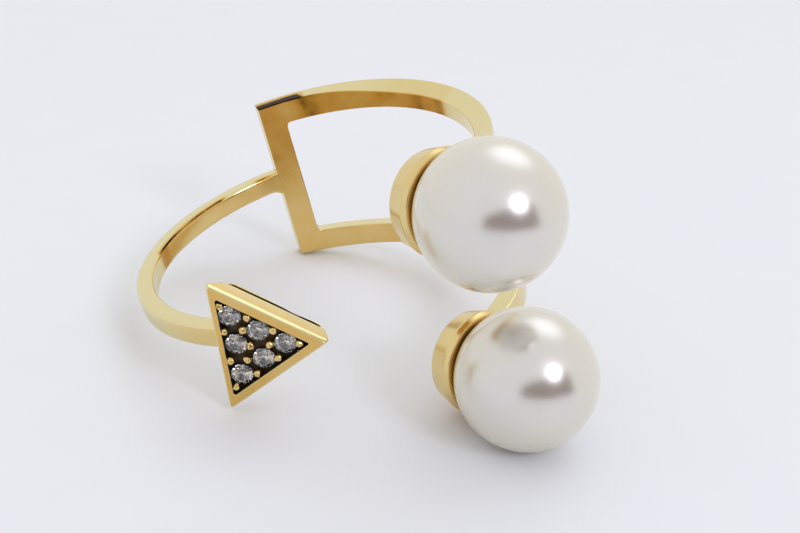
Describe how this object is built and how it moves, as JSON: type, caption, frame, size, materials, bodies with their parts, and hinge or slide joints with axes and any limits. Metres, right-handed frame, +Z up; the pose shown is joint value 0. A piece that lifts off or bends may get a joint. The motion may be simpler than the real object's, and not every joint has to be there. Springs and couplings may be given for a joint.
{
  "type": "open pearl ring",
  "caption": "Open finger ring lying on its side: a window-shaped band with two pearls in cups and a thin shank that ends in a stone-set arrowhead.",
  "frame": {"origin": "middle of the ring's footprint, on the surface that it lies on", "axes": "+Z up from the table, -Y towards the viewer of the picture, +X towards the viewer's right, where the pearls are; the finger's axis leans 19 degrees from +Z towards -X"},
  "size_m": [0.0204, 0.024, 0.0144],
  "materials": {
    "gold": "polished gold plate",
    "pearl": "smooth nacre gloss",
    "stone": "faceted, clear"
  },
  "bodies": {
    "root": {"ring_frame": "gold", "pearl_upper": "pearl", "pearl_lower": "pearl", "stone_1": "stone", "stone_2": "stone", "stone_3": "stone", "stone_4": "stone", "stone_5": "stone", "stone_6": "stone"}
  },
  "joints": []
}
